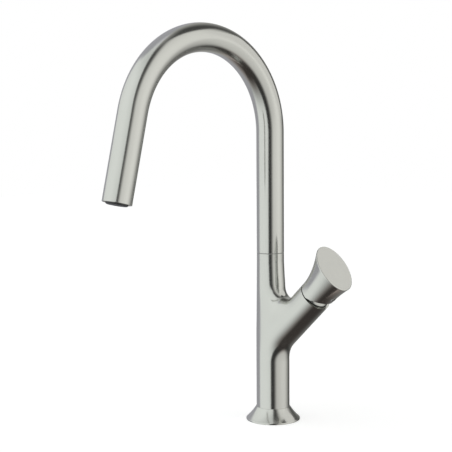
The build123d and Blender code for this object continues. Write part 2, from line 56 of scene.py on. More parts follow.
class Wire:
    """A socket in a node tree. Sums written with wires add their own Math nodes."""

    def __init__(self, tree, socket=None):
        self.tree = tree
        self.socket = socket

    def node(self, kind, settings=None, inputs=None, output=0):
        """Adds any node: its type, its settings, then the values or wires of its sockets."""
        made = self.tree.nodes.new(kind)
        for name, value in (settings or {}).items():
            setattr(made, name, value)
        for key, value in (inputs or {}).items():
            if isinstance(value, Wire):
                self.tree.links.new(value.socket, made.inputs[key])
            else:
                made.inputs[key].default_value = value
        return Wire(self.tree, made.outputs[output])

    def math(self, operation, first, second=0.0):
        return self.node("ShaderNodeMath", {"operation": operation}, {0: first, 1: second})

    def __add__(self, other):
        return self.math("ADD", self, other)

    def __radd__(self, other):
        return self.math("ADD", other, self)

    def __sub__(self, other):
        return self.math("SUBTRACT", self, other)

    def __rsub__(self, other):
        return self.math("SUBTRACT", other, self)

    def __mul__(self, other):
        return self.math("MULTIPLY", self, other)

    def __rmul__(self, other):
        return self.math("MULTIPLY", other, self)

    def step(self, low, high):
        """0 below low, 1 above high, and a smooth rise between them."""
        sockets = {"Value": self, "From Min": low, "From Max": high}
        return self.node("ShaderNodeMapRange", {"interpolation_type": "SMOOTHSTEP"}, sockets)

    def dot(self, way):
        """How far this vector reaches along a direction."""
        settings = {"operation": "DOT_PRODUCT"}
        return self.node("ShaderNodeVectorMath", settings, {0: self, 1: way}, output="Value")

    def parts(self):
        """The three numbers of a vector."""
        split = self.tree.nodes.new("ShaderNodeSeparateXYZ")
        self.tree.links.new(self.socket, split.inputs[0])
        return [Wire(self.tree, split.outputs[k]) for k in range(3)]

    def blend(self, first, second):
        """A colour between two, by this share of the second."""
        sockets = {"Factor": self, 6: first, 7: second}
        return self.node("ShaderNodeMix", {"data_type": "RGBA"}, sockets, output=2)

    def tinted(self, colour):
        """This tone times a colour."""
        grey = self.node("ShaderNodeCombineColor", inputs={0: self, 1: self, 2: self})
        settings = {"data_type": "RGBA", "blend_type": "MULTIPLY"}
        return self.node("ShaderNodeMix", settings, {"Factor": 1.0, 6: colour, 7: grey}, output=2)


def blank_material(name, colour, metallic, roughness):
    """A principled material with its plain constants, its shader node and its tree's wire."""
    material = bpy.data.materials.new(name)
    material.use_nodes = True
    shader = material.node_tree.nodes["Principled BSDF"]
    shader.inputs["Base Color"].default_value = (*colour, 1)
    shader.inputs["Metallic"].default_value = metallic
    shader.inputs["Roughness"].default_value = roughness
    return material, shader, Wire(material.node_tree)


def feed(shader, socket, wire):
    wire.tree.links.new(wire.socket, shader.inputs[socket])


brush_lines = 9000.0
brush_stretch = 0.012
brush_depth = 0.05
cloud_lines = 150.0
cloud_along = 40.0


def satin_steel(name, colour, roughness):
    """Brushed stainless. The piece's own grain attribute is its straightened shape, with the
    brushing along its third axis, so that the lines follow every bend."""
    material, shader, wire = blank_material(name, colour, 1.0, roughness)
    grain = wire.node("ShaderNodeAttribute", {"attribute_name": "grain"}, output="Vector")
    line_scale = (brush_lines, brush_lines, brush_lines * brush_stretch)
    fine = wire.node("ShaderNodeMapping", inputs={"Vector": grain, "Scale": line_scale})
    hair = wire.node("ShaderNodeTexNoise", inputs={"Vector": fine, "Scale": 1.0, "Detail": 3.0})
    cloud_scale = (cloud_lines, cloud_lines, cloud_along)
    broad = wire.node("ShaderNodeMapping", inputs={"Vector": grain, "Scale": cloud_scale})
    cloud = wire.node("ShaderNodeTexNoise", inputs={"Vector": broad, "Scale": 1.0, "Detail": 2.0})
    tone = 0.955 + 0.03 * hair + 0.045 * cloud
    feed(shader, "Base Color", tone.tinted((*colour, 1)))
    feed(shader, "Roughness", roughness - 0.03 + 0.06 * hair)
    relief = {"Height": hair, "Strength": brush_depth, "Distance": 0.05 * mm}
    feed(shader, "Normal", wire.node("ShaderNodeBump", inputs=relief))
    return material


nickel = (0.66, 0.665, 0.635)
satin = 0.17
steel_lathe = satin_steel("steel_turned", nickel, satin)


most_of_side = 0.45
beside_arc = 1.15


def rounded(points, steps=5):
    """An outline of (radius, level, rounding) with each corner turned into a small arc, and a
    point close beside each arc, so that flat stretches shade flat."""
    out = []
    count = len(points)
    for i, (r, z, size) in enumerate(points):
        here = np.array((r, z))
        back = np.array(points[i - 1][:2]) - here
        ahead = np.array(points[(i + 1) % count][:2]) - here
        room = min(np.linalg.norm(back), np.linalg.norm(ahead))
        if size == 0 or room == 0:
            out.append(here)
            continue
        back /= np.linalg.norm(back)
        ahead /= np.linalg.norm(ahead)
        turn = np.arccos(np.clip(-back @ ahead, -1, 1))
        if turn < 1e-3:
            out.append(here)
            continue
        reach = min(size * tan(turn / 2), most_of_side * room)
        size = reach / tan(turn / 2)
        centre = here + (back + ahead) / np.linalg.norm(back + ahead) * sqrt(size**2 + reach**2)
        side = np.sign(back[0] * ahead[1] - back[1] * ahead[0])
        start = here + back * reach - centre
        out.append(here + back * reach * beside_arc)
        for k in range(steps + 1):
            angle = -side * turn * k / steps
            out.append(centre + np.array((
                start[0] * cos(angle) - start[1] * sin(angle),
                start[0] * sin(angle) + start[1] * cos(angle),
            )))
        out.append(here + ahead * reach * beside_arc)
    return np.array(out)


def plain_mesh(name, corners, faces):
    mesh = bpy.data.meshes.new(name)
    mesh.from_pydata([tuple(c) for c in corners], [], faces)
    return mesh


def set_grain(mesh, grain):
    mesh.attributes.new("grain", "FLOAT_VECTOR", "POINT").data.foreach_set("vector", np.ravel(grain))


def placed(name, data):
    """A new object at the origin, in the scene."""
    made = bpy.data.objects.new(name, data)
    bpy.context.scene.collection.objects.link(made)
    return made


def hand_over(piece, body, node):
    """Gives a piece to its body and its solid."""
    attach(piece, body)
    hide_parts(node)


def turned_piece(name, body, node, corners, faces, grain):
    """A smooth piece of turned steel, handed to its body."""
    mesh = plain_mesh(name, corners, faces)
    set_grain(mesh, grain)
    mesh.materials.append(steel_lathe)
    mesh.shade_smooth()
    piece = placed(name, mesh)
    hand_over(piece, body, node)
    return piece


def turned(outline, turns=160):
    """Turns a closed outline of (radius, level) about the Z axis: its points and its faces."""
    angles = np.arange(turns) * 2 * pi / turns
    ring = len(outline)
    radius = outline[:, 0][None, :]
    level = np.broadcast_to(outline[:, 1][None, :], (turns, ring))
    x = np.cos(angles)[:, None] * radius
    y = np.sin(angles)[:, None] * radius
    corners = np.stack((x, y, level), axis=2)
    faces = []
    for i in range(turns):
        j = (i + 1) % turns
        for k in range(ring):
            n = (k + 1) % ring
            faces.append((i * ring + k, j * ring + k, j * ring + n, i * ring + n))
    return corners.reshape(-1, 3), faces


def outward(outline):
    """The outline in the order that makes its faces point outwards."""
    r, z = outline.T
    area = np.sum(r * np.roll(z, -1) - np.roll(r, -1) * z)
    return outline if area > 0 else outline[::-1]


def round_grain(corners):
    """Grain of a piece polished round its axis: radius and level, with a slow change round it."""
    radius = np.hypot(corners[:, 0], corners[:, 1])
    angle = np.arctan2(corners[:, 1], corners[:, 0])
    return np.stack((radius, corners[:, 2], radius * np.sin(angle)), axis=1)


flange_radius, _, flange_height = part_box("base_flange")[1]
body_radius = 17.1 * mm
flange_edge = 1.6 * mm
flange_waist = 21.9 * mm
flange_bore = 14.6 * mm
flange_ledge = 0.5 * mm
flange_waist_level = flange_height / 2 + 0.8 * mm
flare_steps = 24
foot_rounding = 0.3 * mm
edge_rounding = 0.7 * mm
ledge_rounding = 0.25 * mm


def arc_through(a, b, c, steps):
    """Points on the circle through three points of an outline, from the first to the last."""
    ax, ay, bx, by, cx, cy = *a, *b, *c
    d = 2 * (ax * (by - cy) + bx * (cy - ay) + cx * (ay - by))
    sa, sb, sc = ax * ax + ay * ay, bx * bx + by * by, cx * cx + cy * cy
    centre = np.array(((sa * (by - cy) + sb * (cy - ay) + sc * (ay - by)) / d,
                       (sa * (cx - bx) + sb * (ax - cx) + sc * (bx - ax)) / d))
    start = np.array(a) - centre
    end = np.array(c) - centre
    sweep = np.arctan2(start[0] * end[1] - start[1] * end[0], start @ end)
    turns = sweep * np.arange(steps + 1) / steps
    return [
        (centre[0] + start[0] * cos(t) - start[1] * sin(t),
         centre[1] + start[0] * sin(t) + start[1] * cos(t))
        for t in turns
    ]


flare = arc_through(
    (flange_radius, flange_edge),
    (flange_waist, flange_waist_level),
    (body_radius + flange_ledge, flange_height),
    flare_steps,
)
flange_outline = [(flange_bore, 0, 0), (flange_radius, 0, foot_rounding), (*flare[0], edge_rounding)]
flange_outline += [(*point, 0) for point in flare[2:-2]]
flange_outline += [(*flare[-1], ledge_rounding), (flange_bore, flange_height, 0)]
corners, faces = turned(outward(rounded(flange_outline)))
turned_piece("flange", "tap_body", "base_flange", corners, faces, round_grain(corners))

# ---- Body casting ------------------------------------------------------------------------
# One stainless casting: the column runs straight up into the riser, and the branch leaves it
# in a soft bend. The blend between them is ground by hand, and all of it is brushed along.

riser_radius = 14.0 * mm
riser_x = riser_radius - body_radius
body_height = 173.4 * mm
neck_start = 78.0 * mm
neck_end = 165.0 * mm
neck_ease = 1.15
branch_radius = 16.8 * mm
lean = radians(46.3)
branch_height = 79.8 * mm
branch_length = 80.1 * mm
bend_radius = 38.0 * mm
web_arc = 26.0 * mm
web_ease = 40.0 * mm
mouth_radius = 14.3 * mm
body_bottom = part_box("faucet_body")[0].z
bend_foot = branch_height - bend_radius * tan(lean / 2)
branch_out = np.array((sin(lean), 0, cos(lean)))
branch_up = np.array((-cos(lean), 0, sin(lean)))
branch_side = np.array((0, -1.0, 0))
branch_foot = np.array((0, 0, branch_height))
branch_end = branch_foot + branch_out * branch_length
fork_way = np.array((sin(lean / 2), 0, cos(lean / 2)))


def limbs_beside(p):
    """In the middle plane: how far points lie from the axes of the column and the branch,
    positive inside the fork, the radius of each, and how far the branch has turned there."""
    x, _, z = p.T
    share = np.clip((z - neck_start) / (neck_end - neck_start), 0, 1)
    narrowed = 1 - (1 - share) ** neck_ease
    turn = np.clip(np.arctan2(z - bend_foot, bend_radius - x), 0, lean)
    out = x - bend_radius * (1 - np.cos(turn))
    above = z - bend_foot - bend_radius * np.sin(turn)
    return (
        x - riser_x * narrowed,
        body_radius + (riser_radius - body_radius) * narrowed,
        above * np.sin(turn) - out * np.cos(turn),
        body_radius + (branch_radius - body_radius) * turn / lean,
        turn,
    )


def casting_skin(p):
    """Distance from the casting: everything within a limb's radius of the two axes, and of the
    flat web between them, whose upper edge is an arc that touches both."""
    beside_column, column_radius, beside_branch, branch_radius_here, turn = limbs_beside(p)
    agree = -np.cos(turn)
    a = beside_column - web_arc
    b = beside_branch - web_arc
    reach = np.sqrt(np.maximum(a * a + b * b - 2 * a * b * agree, 0) / np.maximum(1 - agree**2, 1e-9))
    in_fork = (beside_column > 0) & (beside_branch > 0) & (a < b * agree) & (b < a * agree)
    nearer = np.minimum(np.abs(beside_column), np.abs(beside_branch))
    gap = np.where(in_fork, np.maximum(web_arc - reach, 0), nearer)
    share = np.clip(0.5 + (np.abs(beside_column) - np.abs(beside_branch)) / web_ease, 0, 1)
    share = share * share * (3 - 2 * share)
    return np.hypot(gap, p[:, 1]) - column_radius * (1 - share) - branch_radius_here * share


def skin_normals(p, reach=0.05 * mm):
    """Which way the casting's skin faces."""
    slope = np.empty_like(p)
    for k in range(3):
        nudge = np.zeros(3)
        nudge[k] = reach
        slope[:, k] = casting_skin(p + nudge) - casting_skin(p - nudge)
    return slope / np.linalg.norm(slope, axis=1)[:, None]


def limb(start, end, radius):
    """A rough round limb between two points."""
    form = bmesh.new()
    along = Vector(end) - Vector(start)
    facing = along.to_track_quat("Z", "Y").to_matrix().to_4x4()
    place = Matrix.Translation((Vector(start) + Vector(end)) / 2) @ facing
    size = {"radius1": radius, "radius2": radius, "depth": along.length}
    bmesh.ops.create_cone(form, cap_ends=True, segments=64, matrix=place, **size)
    mesh = bpy.data.meshes.new("limb")
    form.to_mesh(mesh)
    form.free()
    return mesh


def evaluated_copy(piece):
    """The piece as its modifiers leave it, as a plain mesh."""
    return bpy.data.meshes.new_from_object(piece.evaluated_get(bpy.context.evaluated_depsgraph_get()))


def mean_of_neighbours(values, links):
    total = np.zeros_like(values)
    shared = np.zeros(len(values))
    for a, b in ((0, 1), (1, 0)):
        np.add.at(total, links[:, a], values[links[:, b]])
        np.add.at(shared, links[:, a], 1)
    return total / np.maximum(shared, 1e-9)[:, None]


past_end = 4 * mm
voxel = 0.8 * mm
smoothing_rounds = 14
settling_steps = 3
touching = 0.02 * mm
end_reach = 0.45 * voxel
one_point = 0.05 * mm
thin_edge = 0.01 * mm
into_branch = 0.3

# The rough form is five plain limbs in one even skin. Its points are then smoothed, and drawn
# onto the true skin each time.
rough = bmesh.new()
for limb_mesh in (
    limb((0, 0, flange_height - past_end), (0, 0, neck_end), body_radius),
    limb((riser_x, 0, neck_start), (riser_x, 0, body_height + past_end), riser_radius),
    limb((0, 0, bend_foot), branch_foot + branch_out * into_branch * branch_length, branch_radius),
    limb(branch_foot, branch_end + branch_out * past_end, branch_radius),
    limb(branch_foot, branch_foot + fork_way * web_arc, riser_radius),
):
    rough.from_mesh(limb_mesh)
rough_mesh = bpy.data.meshes.new("rough_casting")
rough.to_mesh(rough_mesh)
rough.free()
rough_piece = placed("rough_casting", rough_mesh)
remesh = rough_piece.modifiers.new("even", "REMESH")
remesh.mode = "VOXEL"
remesh.voxel_size = voxel
casting = evaluated_copy(rough_piece)
bpy.data.objects.remove(rough_piece)

form = bmesh.new()
form.from_mesh(casting)
points = np.array([v.co for v in form.verts])
links = np.array([(e.verts[0].index, e.verts[1].index) for e in form.edges])
for _ in range(smoothing_rounds):
    points = points + 0.5 * (mean_of_neighbours(points, links) - points)
    for _ in range(settling_steps):
        points = points - casting_skin(points)[:, None] * skin_normals(points)
up = np.array((0, 0, 1.0))
down = np.array((0, 0, -1.0))
column_foot = np.array((0, 0, flange_height))
ends = ((column_foot, down), (np.array((0, 0, body_height)), up), (branch_end, branch_out))
for centre, way in ends:
    ahead = (points - centre) @ way
    near = np.abs(ahead) < end_reach
    points[near] -= np.outer(ahead[near], way)
for vert, point in zip(form.verts, points):
    vert.co = point
for centre, way in ends:
    everything = list(form.verts) + list(form.edges) + list(form.faces)
    cut = {"dist": touching, "plane_co": centre, "plane_no": way, "clear_outer": True}
    bmesh.ops.bisect_plane(form, geom=everything, **cut)
bmesh.ops.remove_doubles(form, verts=form.verts, dist=one_point)
bmesh.ops.dissolve_degenerate(form, edges=form.edges, dist=thin_edge)


def continue_rim(form, centre, way, steps):
    """Carries the open rim at an end on through (radius, depth) steps and closes it."""
    rim_reach = 0.1 * mm
    on_rim = []
    for edge in form.edges:
        ahead = (edge.verts[0].co - Vector(centre)).dot(Vector(way))
        if edge.is_boundary and abs(ahead) < rim_reach:
            on_rim.append(edge)
    for radius, depth in steps:
        made = bmesh.ops.extrude_edge_only(form, edges=on_rim)["geom"]
        for vert in (g for g in made if isinstance(g, bmesh.types.BMVert)):
            offset = np.array(vert.co) - centre
            offset -= way * (offset @ way)
            vert.co = centre + offset / np.linalg.norm(offset) * radius - way * depth
        on_rim = [g for g in made if isinstance(g, bmesh.types.BMEdge) and g.is_boundary]
    bmesh.ops.contextual_create(form, geom=on_rim)


chamfer = 0.25 * mm
socket_radius = 11.0 * mm
socket_depth = 41.4 * mm
spigot_radius = 14.5 * mm
mouth_depth = 13.6 * mm
seat_radius = 12.6 * mm
seat_depth = 36.0 * mm
continue_rim(form, column_foot, down, (
    (body_radius - chamfer, 0.0), (spigot_radius, 0.0), (spigot_radius, body_bottom - flange_height),
))
continue_rim(form, np.array((riser_x, 0, body_height)), up, (
    (riser_radius - chamfer, 0.0), (socket_radius, 0.0), (socket_radius, socket_depth),
))
continue_rim(form, branch_end, branch_out, (
    (branch_radius - chamfer, 0.0), (mouth_radius + chamfer, 0.0), (mouth_radius, chamfer),
    (mouth_radius, mouth_depth), (seat_radius, mouth_depth), (seat_radius, seat_depth),
))
bmesh.ops.recalc_face_normals(form, faces=form.faces)
form.to_mesh(casting)
form.free()
casting_piece = placed("body_casting", casting)


def drill(piece, bores):
    """Cuts round bores: the middle of each one's axis, its direction, radius and length."""
    for middle, way, radius, length in bores:
        reach = Vector(way) * length / 2
        cutter = placed("bore", limb(Vector(middle) - reach, Vector(middle) + reach, radius))
        cut = piece.modifiers.new("bore", "BOOLEAN")
        cut.operation = "DIFFERENCE"
        cut.solver = "EXACT"
        cut.object = cutter
        drilled = evaluated_copy(piece)
        piece.modifiers.remove(cut)
        piece.data = drilled
        bpy.data.objects.remove(cutter)


# Two supply inlets and the stud's hole from below, and the lock screw's from behind.
inlet_x = 4.0 * mm
inlet_y = 7.5 * mm
inlet_radius = 4.5 * mm
inlet_depth = 12.0 * mm
stud_x = -8.5 * mm
stud_radius = 4.0 * mm
stud_depth = 13.0 * mm
grub_radius = 2.55 * mm
lock_drop = 18.5 * mm
lock_depth = 4.0 * mm
drill(casting_piece, (
    ((inlet_x, -inlet_y, body_bottom), up, inlet_radius, 2 * inlet_depth),
    ((inlet_x, inlet_y, body_bottom), up, inlet_radius, 2 * inlet_depth),
    ((stud_x, 0, body_bottom), up, stud_radius, 2 * stud_depth),
    ((riser_x, riser_radius, body_height - lock_drop), (0, 1, 0), grub_radius, 2 * lock_depth),
))
casting = casting_piece.data
casting.name = "body_casting"
places = np.array([v.co for v in casting.vertices])
on_skin = np.abs(casting_skin(places)) < touching
for centre, way in ends:
    on_skin &= (places - centre) @ way < thin_edge

# The skin's normals are evened round the fork, as hand grinding softens the light there.
evening_rounds = 150
evening_reach = 55 * mm
evening_ease = 15 * mm
still_fits = 0.8
up_the_fork = 1.35
fork_middle = branch_foot + fork_way * up_the_fork * web_arc
from_fork = np.linalg.norm(places - fork_middle, axis=1)
evening = 0.5 * np.clip((evening_reach - from_fork) / evening_ease, 0, 1) * on_skin
links = np.array([e.vertices for e in casting.edges])
links = links[on_skin[links[:, 0]] & on_skin[links[:, 1]]]
ways = skin_normals(places)
for _ in range(evening_rounds):
    ways = ways + evening[:, None] * (mean_of_neighbours(ways, links) - ways)
    ways /= np.linalg.norm(ways, axis=1)[:, None]
casting.shade_smooth()
casting.set_sharp_from_angle(angle=radians(30))
corner_normals = np.array([c.vector for c in casting.corner_normals])
for face in casting.polygons:
    if all(on_skin[v] for v in face.vertices):
        flat = np.array(face.normal)
        for loop, vertex in zip(face.loop_indices, face.vertices):
            if flat @ ways[vertex] > still_fits:
                corner_normals[loop] = ways[vertex]
casting.normals_split_custom_set([tuple(n) for n in corner_normals])
grain_ease = 6 * mm
beside_column, _, beside_branch, _, _ = limbs_beside(places)
share = 0.5 + (np.abs(beside_column) - np.abs(beside_branch)) / grain_ease
share = np.clip(share, 0, 1)[:, None]
turned_back = np.stack((places @ branch_up, places[:, 1], (places - branch_foot) @ branch_out), axis=1)
set_grain(casting, places * (1 - share) + turned_back * share)
steel_long = satin_steel("steel_brushed_along", nickel, satin)
casting.materials.clear()
casting.materials.append(steel_long)
hand_over(casting_piece, "tap_body", "faucet_body")

# ---- Spout tube --------------------------------------------------------------------------
# One length of 28 mm stainless tube, bent once over the arch, cut square at both ends and
# brushed along its length. It turns on the swivel ring, which shows as the fine seam.

tube_wall = 1.5 * mm
tube_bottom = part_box("spout_tube")[0].z
tube_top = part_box("spout_tube")[1].z
arch_radius = 92.35 * mm
arch_height = tube_top - arch_radius - riser_radius
arch_sweep = radians(166.3)
tail_length = 84.9 * mm
tube_length = arch_height - tube_bottom + arch_radius * arch_sweep + tail_length
tube_rim = 0.45 * mm
tube_foot = 0.2 * mm
rings_along = 360
tube_turns = 96

straight = rounded((
    (riser_radius, tube_bottom, tube_foot),
    (riser_radius, tube_bottom + tube_length, tube_rim),
    (riser_radius - tube_wall, tube_bottom + tube_length, tube_rim),
    (riser_radius - tube_wall, tube_bottom, tube_foot),
))
spaced = []
for here, ahead in zip(straight, np.roll(straight, -1, axis=0)):
    parts = max(1, round(abs(ahead[1] - here[1]) / tube_length * rings_along))
    spaced += [here + (ahead - here) * k / parts for k in range(parts)]
corners, faces = turned(outward(np.array(spaced)), tube_turns)
tube_mesh = plain_mesh("spout", corners, faces)
set_grain(tube_mesh, corners)
tube_mesh.shade_smooth()
tube_piece = placed("spout", tube_mesh)


def node_group(name, inputs):
    """An empty geometry tree with one geometry in and out and its named size inputs."""
    tree = bpy.data.node_groups.new(name, "GeometryNodeTree")
    tree.interface.new_socket("Geometry", in_out="INPUT", socket_type="NodeSocketGeometry")
    tree.interface.new_socket("Geometry", in_out="OUTPUT", socket_type="NodeSocketGeometry")
    for socket_name in inputs:
        tree.interface.new_socket(socket_name, in_out="INPUT", socket_type="NodeSocketFloat")
    return tree, tree.nodes.new("NodeGroupInput")


def close_group(tree, geometry, material):
    """Ends a geometry tree in Realize Instances and Set Material."""
    wire = Wire(tree)
    real = wire.node("GeometryNodeRealizeInstances", inputs={"Geometry": geometry})
    painted = wire.node("GeometryNodeSetMaterial", inputs={"Geometry": real, "Material": material})
    tree.links.new(painted.socket, tree.nodes.new("NodeGroupOutput").inputs[0])


def apply_group(piece, tree, values):
    """Runs a geometry tree on a piece and leaves the piece a plain mesh."""
    run = piece.modifiers.new(tree.name, "NODES")
    run.node_group = tree
    for item in tree.interface.items_tree:
        if item.in_out == "INPUT" and item.name in values:
            run[item.identifier] = values[item.name]
    made = evaluated_copy(piece)
    piece.modifiers.remove(run)
    piece.data = made
    made.name = piece.name


bend_sizes = {
    "Arch height": arch_height, "Arch radius": arch_radius, "Sweep": arch_sweep, "Riser X": riser_x,
}
bend, sizes = node_group("bend_over_the_arch", bend_sizes)
wire = Wire(bend)
height, radius, sweep, shift = (Wire(bend, sizes.outputs[name]) for name in bend_sizes)
across, outer, along = wire.node("GeometryNodeInputPosition").parts()
above = along - height
below = wire.math("MINIMUM", above, 0.0)
turn = wire.math("MINIMUM", wire.math("DIVIDE", above - below, radius), sweep)
beyond = above - below - turn * radius
cosine = wire.math("COSINE", turn)
sine = wire.math("SINE", turn)
bent_y = (radius + outer) * cosine - radius - beyond * sine
bent_z = height + (radius + outer) * sine + beyond * cosine + below
bent = wire.node("ShaderNodeCombineXYZ", inputs={0: across + shift, 1: bent_y, 2: bent_z})
tube = Wire(bend, sizes.outputs["Geometry"])
moved = wire.node("GeometryNodeSetPosition", inputs={"Geometry": tube, "Position": bent})
close_group(bend, moved, steel_long)
apply_group(tube_piece, bend, bend_sizes)
hand_over(tube_piece, "spout", "spout_tube")

# ---- Knob --------------------------------------------------------------------------------
# A die-cast trumpet with a brushed skin: round where it meets the branch, and flaring into a
# slanting oval face. A flat notch under its skirt lets it tip, and it hangs on the stem.

knob_gap = 1.1 * mm
face_height = 38.4 * mm
face_shift = 4.8 * mm
face_tilt = radians(6.7)
face_half_length = 25.6 * mm
face_half_width = 20.2 * mm
knob_rim = 1.1 * mm
notch_start = 1.1 * mm
notch_slope = tan(radians(26.0))
pivot_level = -7.5 * mm
cavity_sphere = 16.55 * mm
stem_socket = 5.1 * mm
socket_top = 22.4 * mm
knob_turns = 288
knob_rows = 96
halvings = 40
first_row = 0.004
rows_reach = 0.96
rim_rows = 6
sphere_rows = 14
knob_angles = np.arange(knob_turns) * 2 * pi / knob_turns


def flare_point(share, angle, inset=0.0):
    """A point on the knob's flare, in (up, side, out) of the branch's end face."""
    widening = share * share
    slant = face_tilt * share
    long_half = branch_radius + (face_half_length - branch_radius) * widening - inset
    wide_half = branch_radius + (face_half_width - branch_radius) * widening - inset
    upwards = face_shift * widening + long_half * np.cos(angle) * np.cos(slant)
    out = knob_gap + (face_height - knob_gap) * share + long_half * np.cos(angle) * np.sin(slant)
    return np.stack(np.broadcast_arrays(upwards, wide_half * np.sin(angle), out), axis=-1)


def skirt_level(height):
    """How far out the skirt's lower edge stands: the notch under it, or else its plain foot."""
    return np.maximum(knob_gap, (notch_start - height) * notch_slope)


def below_skirt(share):
    p = flare_point(share, knob_angles)
    return p[:, 2] < skirt_level(p[:, 0])


def inside_cavity(radius):
    level = skirt_level(radius * np.cos(knob_angles))
    return radius**2 + (level - pivot_level) ** 2 < cavity_sphere**2


def crossing(low, high, holds):
    """The last values that hold and the first that don't, one for each angle, by halving."""
    low = np.full(knob_turns, low)
    high = np.full(knob_turns, high)
    for _ in range(halvings):
        middle = (low + high) / 2
        held = holds(middle)
        low = np.where(held, middle, low)
        high = np.where(held, high, middle)
    return low, high


def ring_at(radius, level):
    """A ring of the cavity, in (up, side, out) of the branch's end face."""
    parts = (radius * np.cos(knob_angles), radius * np.sin(knob_angles), level)
    return np.stack(np.broadcast_arrays(*parts), axis=1)


_, skirt_share = crossing(-0.2, 1.0, below_skirt)
inner_radius, _ = crossing(stem_socket, cavity_sphere, inside_cavity)
inner_edge = ring_at(inner_radius, skirt_level(inner_radius * np.cos(knob_angles)))

# Rings from the skirt's underside up the flare, round the rim and in over the face, and then
# from the skirt's inner edge over the cavity's sphere to the stem's socket.
rings = []
skirt_edge = flare_point(skirt_share, knob_angles)
for share in (0.08, 0.3, 0.7, 0.95):
    rings.append(inner_edge * (1 - share) + skirt_edge * share)
for row in range(knob_rows + 1):
    share = skirt_share + (1 - skirt_share) * (first_row + rows_reach * row / knob_rows)
    rings.append(flare_point(share, knob_angles))
for k in range(1, rim_rows + 1):
    angle = k / rim_rows * pi / 2
    inset = knob_rim * (1 - cos(angle))
    drop = knob_rim * (1 - sin(angle))
    share = 1 - drop / (face_height - knob_gap)
    rings.append(flare_point(np.full(knob_turns, share), knob_angles, inset))
rim = flare_point(np.ones(knob_turns), knob_angles, knob_rim)
centre = np.array((face_shift, 0, face_height))
for spread in (0.985, 0.95, 0.85, 0.7, 0.5, 0.3, 0.15, 0.05):
    rings.append(centre + (rim - centre) * spread)
inner_rings = []
for k in range(sphere_rows):
    share = k / (sphere_rows - 1)
    radius = inner_radius + (stem_socket - inner_radius) * share
    inner_rings.append(ring_at(radius, pivot_level + np.sqrt(cavity_sphere**2 - radius**2)))
inner_rings.append(ring_at(stem_socket, socket_top))
rings = inner_rings[::-1] + rings
local = np.concatenate(rings)
knob_faces = []
for row in range(len(rings) - 1):
    first, second = row * knob_turns, (row + 1) * knob_turns
    for k in range(knob_turns):
        n = (k + 1) % knob_turns
        knob_faces.append((first + k, first + n, second + n, second + k))
knob_faces.append(tuple(range(knob_turns))[::-1])
knob_faces.append(tuple(range((len(rings) - 1) * knob_turns, len(rings) * knob_turns)))
corners = branch_end + local @ np.array((branch_up, branch_side, branch_out))
knob_piece = turned_piece("knob_trumpet", "lever", "knob", corners, knob_faces, round_grain(local))
form = bmesh.new()
form.from_mesh(knob_piece.data)
bmesh.ops.recalc_face_normals(form, faces=form.faces)
form.to_mesh(knob_piece.data)
form.free()

# The grub screw's hole right through the wall, and the wider seat of its plug.
grub_level = 15.5 * mm
grub_middle = 8.0 * mm
grub_length = 12.0 * mm
plug_radius = 3.05 * mm
plug_middle = 23.5 * mm
plug_length = 20.0 * mm
grub_axis = branch_end + branch_out * grub_level
drill(knob_piece, (
    (grub_axis - branch_up * grub_middle, branch_up, grub_radius, grub_length),
    (grub_axis - branch_up * plug_middle, branch_up, plug_radius, plug_length),
))
knob_piece.data.set_sharp_from_angle(angle=radians(32))

# ---- Small turned and moulded pieces -----------------------------------------------------
# The cartridge's plastic, rubber and ceramic pieces, the brass nuts, the aerator, the plated
# stud, screws and clamp. Turned, moulded or pressed, and screwed or laid in place: each keeps
# its solid's shape, as one smooth skin with crisp edges, in the finish of its own material.


def plain_finish(name, colour, metallic, roughness, grain_scale=900.0, change=0.06):
    """A finish with a fine even texture, for plastic, rubber, brass and plated steel."""
    material, shader, wire = blank_material(name, colour, metallic, roughness)
    where = wire.node("ShaderNodeTexCoord", output="Object")
    texture = {"Vector": where, "Scale": grain_scale, "Detail": 3.0}
    speck = wire.node("ShaderNodeTexNoise", inputs=texture)
    tone = 1.0 - change + 2.0 * change * speck
    feed(shader, "Base Color", tone.tinted((*colour, 1)))
    feed(shader, "Roughness", roughness - 0.04 + 0.08 * speck)
    bump = wire.node("ShaderNodeBump", inputs={"Height": speck, "Strength": 0.1, "Distance": 0.1 * mm})
    feed(shader, "Normal", bump)
    return material


plated = (0.55, 0.55, 0.56)
finishes = {
    "steel": plain_finish("steel_satin_small", nickel, 1.0, 0.2),
    "stud": plain_finish("steel_plated", plated, 1.0, 0.28),
    "zinc": plain_finish("steel_pressed", (0.5, 0.5, 0.48), 1.0, 0.38, 300.0, 0.1),
    "brass": plain_finish("brass_machined", (0.68, 0.5, 0.24), 1.0, 0.25),
    "seal": plain_finish("rubber_black", (0.02, 0.02, 0.02), 0.0, 0.7),
    "plastic": plain_finish("acetal_white", (0.78, 0.78, 0.75), 0.0, 0.4),
    "dark_plastic": plain_finish("acetal_dark", (0.06, 0.06, 0.065), 0.0, 0.42),
    "plug": plain_finish("plug_plated", (0.7, 0.7, 0.69), 1.0, 0.12),
    "ceramic": plain_finish("ceramic_lapped", (0.85, 0.85, 0.82), 0.0, 0.12),
}

# The stud's thread is one ridge that winds round the stud's own axis.
thread_pitch = 1.25 * mm
stud_thread, shader, wire = blank_material("steel_threaded", plated, 1.0, 0.3)
x, y, z = wire.node("ShaderNodeTexCoord", output="Object").parts()
lap = wire.math("ARCTAN2", y, x - stud_x) * (0.5 / pi)
ridge = wire.math("PINGPONG", z * (1 / thread_pitch) + lap, 0.5)
bump = wire.node("ShaderNodeBump", inputs={"Height": ridge, "Strength": 1.0, "Distance": 1.2 * mm})
feed(shader, "Normal", bump)

